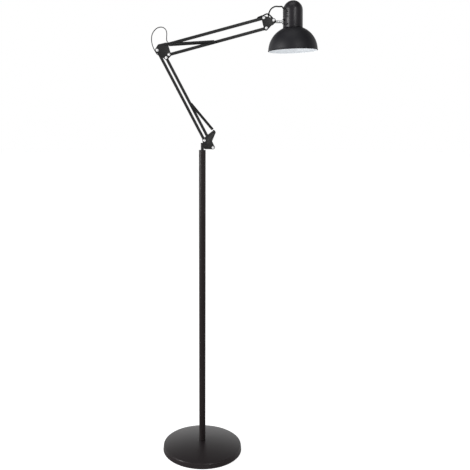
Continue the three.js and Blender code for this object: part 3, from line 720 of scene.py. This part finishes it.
# ------------------------------------------------------------------ springs
# A stretch of close-wound coil along Z between two heights, with whole turns.
def coil(name, low, high):
    turns = max(1, round((high - low) / (2.12 * WIRE)))
    pitch = (high - low) / turns
    deselected()
    bpy.ops.mesh.primitive_circle_add(vertices=6, radius=WIRE, fill_type="NOTHING",
                                      location=(SPRING_RADIUS - WIRE, 0, low),
                                      rotation=(math.radians(90), 0, 0))
    piece = named(name)
    settled(piece)
    modifier = piece.modifiers.new("wind", "SCREW")
    modifier.axis = "Z"
    modifier.angle = math.radians(360)
    modifier.screw_offset = pitch
    modifier.iterations = turns
    modifier.steps = modifier.render_steps = 16
    modifier.use_merge_vertices = True
    modifier.merge_threshold = 1e-6
    apply_modifiers(piece)
    return piece


# The wire from a coil's end in to the axis and round the pin: heights run from the pin.
def hook(name, reach):
    eye = 1.8 * MM + WIRE + 0.15 * MM
    wound = SPRING_RADIUS - WIRE
    points = []
    for i in range(13):
        turn = math.radians(180 * i / 12)
        radius = wound * (0.5 + 0.5 * math.cos(turn))
        points.append((radius * math.cos(turn * 0.5), -radius * math.sin(turn * 0.5),
                       reach - 1.1 * MM * math.sin(turn / 2)))
    points.append((0, 0, reach - 2.4 * MM))
    for i in range(19):
        turn = math.radians(78 - 318 * i / 18)
        points.append((eye * math.cos(turn), 0, eye * math.sin(turn)))
    return wire_line(name, points, WIRE)


def wire_line(name, points, radius, sides=8):
    curve = bpy.data.curves.new(name, "CURVE")
    curve.dimensions = "3D"
    curve.bevel_depth = radius
    curve.bevel_resolution = max(1, sides // 4)
    curve.use_fill_caps = True
    line = curve.splines.new("POLY")
    line.points.add(len(points) - 1)
    for point, place in zip(line.points, points):
        point.co = (*place, 1)
    made = bpy.data.objects.new(name, curve)
    scene.collection.objects.link(made)
    in_hand(made)
    bpy.ops.object.convert(target="MESH")
    return named(name)


def joined(pieces, name):
    deselected()
    for piece in pieces:
        piece.select_set(True)
    bpy.context.view_layer.objects.active = pieces[0]
    bpy.ops.object.join()
    return named(name)


def balance_spring(node, start, end, side, cuts):
    length = (end - start).length
    way = end - start
    turn = Matrix.Rotation(math.atan2(way.x, way.z), 4, "Y")
    where = shifted(Vector((start.x, side * SPRING_LINE, start.z))) @ turn
    coil_low, coil_high = SPRING_HOOK, length - SPRING_HOOK
    heights = [coil_low + (coil_high - coil_low) * c for c in cuts]
    for number, (low, high) in enumerate(zip(heights, heights[1:]), 1):
        piece = coil(f"{node}_coil_{number}", low, high)
        parts = [piece]
        if number == 1:
            parts.append(hook(f"{node}_hook_low", SPRING_HOOK))
        if number == len(heights) - 1:
            top = hook(f"{node}_hook_high", SPRING_HOOK)
            settled(top, shifted((0, 0, length)) @ Matrix.Rotation(math.pi, 4, "X"))
            parts.append(top)
        piece = joined(parts, f"{node}_coil_{number}") if len(parts) > 1 else piece
        settled(piece, where)
        flexed(piece, SPRING_STEEL, node)


# Where the coils are divided, as shares of their length.
LOWER_CUTS = (0, 0.12, 0.3, 0.55, 1)
UPPER_CUTS = (0, 0.1, 0.25, 1)


def springs():
    for word, side in (("front", -1), ("back", 1)):
        balance_spring(f"lower_spring_{word}", ear, lower_pin, side,
                       LOWER_CUTS)
        balance_spring(f"upper_spring_{word}", elbow_top, upper_pin, side,
                       UPPER_CUTS)


# ------------------------------------------------------------------ tilt knuckle, stem and collar
def knuckle():
    low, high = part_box("tilt_knuckle")
    nose = Vector((high.x - 4.7 * MM, 0, middle("stem").z))
    piece = wrapped("tilt_knuckle_moulded", [(tilt_pivot, 6.2 * MM), (nose, 4.7 * MM)],
                    low.y, high.y)
    bevelled(piece, 0.8 * MM, 3, 50)
    fitted(piece, "tilt_arm", PLASTIC, "black_plastic", "tilt_knuckle", angle=30)


def stem():
    low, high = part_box("stem")
    radius = (high.z - low.z) / 2
    edge = 0.5 * MM
    groove = radius - 0.5 * MM
    piece = turned("stem_turned", [
        (0, low.x), (radius - edge, low.x), (radius, low.x + edge), (radius, high.x - 5 * MM),
        (groove, high.x - 4.6 * MM), (groove, high.x - 4 * MM), (radius, high.x - 3.6 * MM),
        (radius, high.x - edge), (radius - edge, high.x), (0, high.x)], 48)
    settled(piece, shifted((0, 0, (low.z + high.z) / 2)) @ TO_X)
    fitted(piece, "tilt_arm", CHROME, "chrome", "stem", angle=30)


HEAD = shifted(head_place) @ Matrix.Rotation(-HEAD_LEAN, 4, "Y")
HEAD_LINE = HEAD @ shifted((HEAD_AXIS, 0, 0))


def collar():
    start = -2.4 * MM
    tip = start + 9.4 * MM
    piece = turned("swivel_collar_turned", [
        (0, start), (6.9 * MM, start), (7.6 * MM, start + 0.7 * MM), (7.6 * MM, start + 2.6 * MM),
        (7.2 * MM, start + 3.2 * MM), (3.8 * MM, tip - 0.2 * MM), (3.2 * MM, tip),
        (3.2 * MM, 11.3 * MM), (0, 11.3 * MM)], 48)
    settled(piece, HEAD @ TO_X)
    fitted(piece, "head", CHROME, "chrome", "swivel_collar", angle=30)


# ------------------------------------------------------------------ head
# Height of the shade's dome at a radius, for its outside or a skin so far inside it.
def dome_height(radius, inside=0):
    share = radius / (SHADE_RADIUS - inside)
    return SHADE_RIM + (SHADE_HEIGHT - inside) * math.sqrt(1 - share ** 2)


# The strain relief's place in the cap's wall and its way in, from the head's own axes.
BOOT_POINT = Vector((6.21, -17.76, 32.2)) * MM
BOOT_ALONG = Vector((0.66, -0.3, -0.69)).normalized()
BOOT_ROTATION = Vector((0, 0, 1)).rotation_difference(BOOT_ALONG).to_matrix().to_4x4()
BOOT_TURN = shifted(BOOT_POINT) @ BOOT_ROTATION


# The hole that the strain relief passes through.
def boot_tool():
    tool = turned("boot_tool", [(0, -11.3 * MM), (3.4 * MM, -11.3 * MM), (4.2 * MM, 8.3 * MM),
                                (0, 8.3 * MM)], 24)
    settled(tool, BOOT_TURN)
    return tool


VENTS = 8
VENT_FIRST = -10 * MM  # the lowest vent's middle, from the stem's axis
VENT_PITCH = 6 * MM
VENT_SIZE = (31.7 * MM, 52 * MM, 2.2 * MM)
VENT_MIDDLE = 5.85 * MM
NOTCH_RADIUS = 8.6 * MM
NOTCH_MIDDLE = -2.5 * MM


# The cap's vents, apart from those that the collar's notch takes away.
def cut_vents(piece):
    for i in range(VENTS):
        height = VENT_FIRST + VENT_PITCH * i
        if abs(height) > NOTCH_RADIUS + VENT_SIZE[2] / 2:
            bpy.ops.mesh.primitive_cube_add(size=1, location=(VENT_MIDDLE, 0, height), scale=VENT_SIZE)
            tool = bpy.context.object
            settled(tool)
            cut_out(piece, tool)


def cap():
    foot = dome_height(CAP_RADIUS) + 0.8 * MM
    dome = CAP_TOP - CAP_RADIUS
    inner = CAP_RADIUS - CAP_WALL
    piece = turned("cap_moulded", [
        (inner, foot), (CAP_RADIUS - 0.4 * MM, foot), (CAP_RADIUS, foot + 0.4 * MM),
        *arc(0, dome, CAP_RADIUS, 0, 84, 14), (0, CAP_TOP)], 96)
    hollow = turned("cap_hollow", [
        (0, foot - MM), (inner, foot - MM), *arc(0, dome, inner, 0, 84, 10),
        (0, CAP_TOP - CAP_WALL)], 72)
    editing(piece)
    bpy.ops.mesh.select_all(action="DESELECT")
    bpy.ops.mesh.select_mode(type="EDGE")
    bpy.ops.mesh.select_non_manifold()
    bpy.ops.mesh.edge_face_add()
    bpy.ops.mesh.select_all(action="SELECT")
    bpy.ops.mesh.normals_make_consistent(inside=False)
    done()
    cut_out(piece, hollow)
    settled(piece, shifted((HEAD_AXIS, 0, 0)))
    bpy.ops.mesh.primitive_cylinder_add(vertices=48, radius=NOTCH_RADIUS, depth=34 * MM,
                                        location=(NOTCH_MIDDLE, 0, 0),
                                        rotation=(math.radians(90), 0, 0))
    cut_out(piece, bpy.context.object)
    cut_vents(piece)
    cut_out(piece, boot_tool())
    bevelled(piece, 0.25 * MM, 2, 40)
    settled(piece, HEAD)
    fitted(piece, "head", CAP_PLASTIC, "cap_plastic", "cap", angle=32)


# Thin black sleeve inside the cap, behind the vents above the collar: a dark sheet that stands in for
# the shade inside the cap, as painted shade.
def vent_shade_sleeve():
    outer = CAP_RADIUS - CAP_WALL - 0.5 * MM
    inner = outer - 0.6 * MM
    low, high = 11 * MM, 34 * MM
    piece = turned("vent_shade_sleeve", [(outer, low), (outer, high), (inner, high), (inner, low)], 72,
                   closed=True)
    settled(piece, shifted((HEAD_AXIS, 0, 0)))
    cut_out(piece, boot_tool())
    settled(piece, HEAD)
    fitted(piece, "head", PLASTIC, "cap_plastic")


def shade():
    mouth = HOLDER_RADIUS + 0.6 * MM
    lip = SHADE_RADIUS - SHADE_WALL / 2

    def skin(inside, first):
        radius = SHADE_RADIUS - inside
        end = math.degrees(math.acos(mouth / radius))
        return [(r, dome_height(r, inside)) for r, _ in arc(0, 0, radius, first, end, 26)]

    profile = arc(lip, SHADE_RIM, 1.4 * MM, 150, 385, 12) + skin(0, 2.2)
    profile += reversed(skin(SHADE_WALL, 2.0))
    piece = turned("shade_spun", profile, 128, closed=True)
    painted(piece, SHADE_PAINT, SHADE_WHITE)
    for face in piece.data.polygons:
        across = math.hypot(face.center.x, face.center.y) / (lip - 0.1 * MM)
        up = max(0, face.center.z - SHADE_RIM) / (SHADE_HEIGHT - SHADE_WALL / 2 - 0.1 * MM)
        face.material_index = 1 if math.hypot(across, up) < 1 else 0
    settled(piece, HEAD_LINE)
    smoothed(piece, 40)
    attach(piece, "head")
    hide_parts("shade")


def lampholder():
    bottom, top = -31 * MM, 25 * MM
    seat = bottom + 38 * MM
    flange = dome_height(HOLDER_RADIUS) + 0.3 * MM
    thread = []
    for i in range(6):
        height = bottom + (5 + i * 3.6) * MM
        thread += [(13.2 * MM, height), (12.7 * MM, height + 0.9 * MM),
                   (13.2 * MM, height + 1.8 * MM), (13.6 * MM, height + 2.7 * MM)]
    r = HOLDER_RADIUS
    piece = turned("lampholder_moulded", [
        (0, seat), (13.2 * MM, seat), *reversed(thread), (13.6 * MM, bottom + 1 * MM),
        (14.4 * MM, bottom), (r - 1.2 * MM, bottom), (r, bottom + 1.2 * MM), (r, flange),
        (26.6 * MM, flange), (27 * MM, flange + 0.4 * MM), (27 * MM, flange + 2.2 * MM),
        (26.6 * MM, flange + 2.6 * MM), (r, flange + 2.6 * MM), (r, top - 4 * MM),
        (r - 1.2 * MM, top - 1.2 * MM), (r - 4 * MM, top), (0, top),
    ], 64)
    settled(piece, HEAD_LINE)
    fitted(piece, "head", PHENOLIC, "phenolic", "lampholder", angle=40)


def shade_ring():
    top = dome_height(26 * MM, SHADE_WALL) - 0.3 * MM
    low = top - 8 * MM
    piece = turned("shade_ring_turned", [
        (20.6 * MM, low), (24.4 * MM, low), (25.4 * MM, low + 0.6 * MM), (26 * MM, low + 1.6 * MM),
        (26 * MM, top), (20.6 * MM, top)], 60, closed=True)
    editing(piece)
    pick_faces(piece, lambda c, n: abs(n.z) < 0.2 and math.hypot(c.x, c.y) > 25.7 * MM
               and round(math.degrees(math.atan2(c.y, c.x)) / 6) % 2 == 0)
    bpy.ops.mesh.inset(thickness=0.25 * MM, depth=-0.35 * MM, use_individual=True)
    done()
    settled(piece, HEAD_LINE)
    fitted(piece, "head", PHENOLIC, "phenolic", "shade_ring", angle=30)


def contact():
    place = middle("lampholder_contact")
    height = 2.4 * MM
    piece = turned("lampholder_contact_domed", [
        (0, height / 2), (4 * MM, height / 2), (4 * MM, -0.2 * MM), (3.4 * MM, -0.7 * MM),
        (2.2 * MM, -1.0 * MM), (0, -height / 2)], 32)
    settled(piece, shifted(place) @ Matrix.Rotation(-HEAD_LEAN, 4, "Y"))
    fitted(piece, "head", BRASS, "brass", "lampholder_contact")


def cable_boot():
    outline = [(0, -11 * MM), (2.0 * MM, -11 * MM), (2.5 * MM, -10.7 * MM)]
    for i in range(4):
        height = (-9.6 + i * 2.1) * MM
        r = (3.1 + 0.08 * i) * MM
        outline += [(r, height), (r, height + 1.2 * MM), (r - 0.5 * MM, height + 1.5 * MM),
                    (r - 0.5 * MM, height + 1.9 * MM)]
    outline += [(3.6 * MM, -1 * MM), (3.9 * MM, 8 * MM), (0, 8 * MM)]
    piece = turned("cable_boot_ribbed", outline, 32)
    settled(piece, HEAD @ BOOT_TURN)
    fitted(piece, "head", RUBBER, "black_plastic", "cable_boot", angle=30)


# ------------------------------------------------------------------ cables
SPAN_POINTS = 10  # points on a cable's line for each one given


# Points close together on a smooth line through the ones given.
def smooth_line(points):
    given = [Vector(p) for p in points]
    ends = [2 * given[0] - given[1]] + given + [2 * given[-1] - given[-2]]
    line = []
    for a, b, c, d in zip(ends, ends[1:], ends[2:], ends[3:]):
        steps = [max(1e-9, (q - p).length ** 0.5) for p, q in ((a, b), (b, c), (c, d))]
        left = (c - b) / steps[1] - (c - a) / (steps[0] + steps[1]) + (b - a) / steps[0]
        right = (d - c) / steps[2] - (d - b) / (steps[1] + steps[2]) + (c - b) / steps[1]
        left, right = left * steps[1], right * steps[1]
        for i in range(SPAN_POINTS):
            t = i / SPAN_POINTS
            line.append(b + left * t + (3 * (c - b) - 2 * left - right) * t * t
                        + (2 * (b - c) + left + right) * t ** 3)
    return line + [given[-1]]


# A point along a bar from its pivot, and so far out from its middle line.
def on_bar(start, way, along, out):
    return (start.x + way.x * along - way.z * out, 0, start.z + way.z * along + way.x * out)


def mm(points):
    return [tuple(v * MM for v in p) for p in points]


def elbow_cable():
    lower = (elbow_rear - lower_rear).normalized()
    upper = (head_low - elbow_low).normalized()
    reach = (elbow_rear - lower_rear).length
    points = [
        on_bar(lower_rear, lower, reach - 15 * MM, 2.2 * MM),
        on_bar(lower_rear, lower, reach - 11 * MM, 6 * MM),
        *mm([(-149, 0, 1361.5), (-154, 0, 1371), (-158.4, 0, 1384), (-160, 0, 1399),
             (-157.6, 0, 1413), (-150.5, 0, 1424.5), (-140, 0, 1432.5), (-127, 0, 1434.5),
             (-116.5, 0, 1429), (-112, 0, 1418), (-112.4, 0, 1404), (-112, 0, 1394)]),
        on_bar(elbow_top, upper, 6.5 * MM, 6.5 * MM),
        on_bar(elbow_top, upper, 9 * MM, 2 * MM),
    ]
    line = smooth_line(points)
    half = len(line) // 2
    for name, part, bodies, ends in (
        ("elbow_flex_rising", line[:half + 1], ("lower_rear_arm", "elbow"), (line[14], line[48])),
        ("elbow_flex_falling", line[half:], ("elbow", "upper_top_arm"), (line[-42], line[-14])),
    ):
        cores = []
        for side in (-1, 1):
            track = [(p.x, side * 0.85 * MM, p.z) for p in part]
            cores.append(wire_line(f"{name}_core", track, 1.3 * MM, 12))
        flexed(joined(cores, name), FLEX, "elbow_cable")


def head_cable():
    upper = (head_low - elbow_low).normalized()
    span = (head_low - elbow_low).length
    mouth = HEAD @ (BOOT_POINT - BOOT_ALONG * 11.6 * MM)
    along = HEAD.to_3x3() @ BOOT_ALONG
    points = [
        on_bar(elbow_top, upper, span - 21 * MM, 2.2 * MM),
        on_bar(elbow_top, upper, span - 16 * MM, 6 * MM),
        *mm([(190, 4, 1469.5), (204, 9, 1475.5), (216, 13.5, 1469), (224.5, 15, 1458.5),
             (226, 15, 1449.5), (219.5, 15, 1444), (211.5, 15.5, 1450), (208.6, 15.5, 1463),
             (209.6, 15, 1478), (214.4, 12, 1488.8), (221.4, 7, 1494.6), (229.4, 1, 1496.6),
             (238.8, -5, 1495.2)]),
        tuple(mouth - along * 4 * MM), tuple(mouth),
    ]
    line = smooth_line(points)
    last = len(line) - 1
    # Each stretch: its first and last point, the bodies it joins, and where its bend starts and ends.
    for name, low, high, bodies, bend_from, bend_to in (
        ("head_flex_leaving", 0, 70, ("upper_top_arm", "head_bracket"), 15, 40),
        ("head_flex_rising", 70, 138, ("head_bracket", "tilt_arm"), 84, 137),
        ("head_flex_entering", 138, last, ("tilt_arm", "head"), 139, last - 6),
    ):
        piece = wire_line(name, line[low:high + 1], 2.15 * MM, 16)
        flexed(piece, FLEX, "head_cable")


# ------------------------------------------------------------------ parts kept from the frame
def kept_parts():
    for node, material in (("base_weight", CAST_IRON), ("foot_bolt", ZINC), ("foot_washer", ZINC),
                           ("foot_plug", ZINC), ("pole_joiner", ZINC), ("bracket_pin", ARM_PAINT)):
        painted(frame["nodes"][node], material)


# ------------------------------------------------------------------ floor and light
FLOOR_COLOUR = (0.85, 0.85, 0.85)
FLOOR_GLOW = 0.86
WALL_BEHIND = 0.85
WALL_BEFORE = 0.14
OVERHEAD = 0.12
UNDERFOOT = 0.22


def floor():
    deselected()
    bpy.ops.mesh.primitive_plane_add(size=40, location=(0, 0, 0))
    plane = named("floor")
    material = bpy.data.materials.new("pale_floor")
    material.use_nodes = True
    shader = material.node_tree.nodes["Principled BSDF"]
    shader.inputs["Base Color"].default_value = (*FLOOR_COLOUR, 1)
    shader.inputs["Roughness"].default_value = 0.8
    shader.inputs["Emission Color"].default_value = (1, 1, 1, 1)
    shader.inputs["Emission Strength"].default_value = FLOOR_GLOW
    painted(plane, material)
    plane.visible_glossy = False


# A studio with a bright wall behind, dimmer overhead and in front, and plain white to the eye.
def studio():
    world = bpy.data.worlds.new("studio")
    scene.world = world
    world.use_nodes = True
    tree = world.node_tree
    back = tree.nodes["Background"]
    place = tree.nodes.new("ShaderNodeTexCoord")
    split = tree.nodes.new("ShaderNodeSeparateXYZ")
    tree.links.new(place.outputs["Generated"], split.inputs["Vector"])

    def ramp(value, ends, results):
        node = tree.nodes.new("ShaderNodeMapRange")
        node.interpolation_type = "SMOOTHSTEP"
        node.inputs["From Min"].default_value, node.inputs["From Max"].default_value = ends
        node.inputs["To Min"].default_value, node.inputs["To Max"].default_value = results
        tree.links.new(value, node.inputs["Value"])
        return node.outputs["Result"]

    walls = ramp(split.outputs["Y"], (-0.3, 0.7), (WALL_BEFORE, WALL_BEHIND))
    above = ramp(split.outputs["Z"], (0.25, 0.75), (1, OVERHEAD))
    path = tree.nodes.new("ShaderNodeLightPath")
    below = ramp(split.outputs["Z"], (-0.25, 0), (UNDERFOOT, 1))
    light = math_node(tree, "MULTIPLY", math_node(tree, "MULTIPLY", walls, above), below)
    shown = math_node(tree, "MAXIMUM", light, path.outputs["Is Camera Ray"])
    tree.links.new(shown, back.inputs["Strength"])
    back.inputs["Color"].default_value = (1, 1, 1, 1)


def lamp_light(name, place, aim, size, power):
    data = bpy.data.lights.new(name, "AREA")
    data.shape = "RECTANGLE"
    data.size, data.size_y = size
    data.energy = power
    light = bpy.data.objects.new(name, data)
    light.location = place
    light.rotation_euler = (Vector(aim) - Vector(place)).to_track_quat("-Z", "Y").to_euler()
    scene.collection.objects.link(light)


def lights():
    lamp_light("left_softbox", (-2.6, -1.3, 1.7), (0, 0, 0.9), (0.9, 1.8), 55)
    lamp_light("right_strip", (1.1, -2.6, 2.2), (0.1, 0, 1.0), (0.3, 1.6), 20)
    lamp_light("overhead", (0, -0.4, 3.4), (0, 0, 0), (1.6, 1.6), 8)


# ------------------------------------------------------------------ making
base_cover()
base_pad()
cable_gland()
pole()
swivel_bracket()
bracket_rivet()
pivots()
stub_pins()
spring_pins()
arm_bars()
elbow_plates()
head_plates()
springs()
knuckle()
stem()
collar()
cap()
vent_shade_sleeve()
shade()
lampholder()
shade_ring()
contact()
cable_boot()
elbow_cable()
head_cable()
kept_parts()
floor()
studio()
lights()
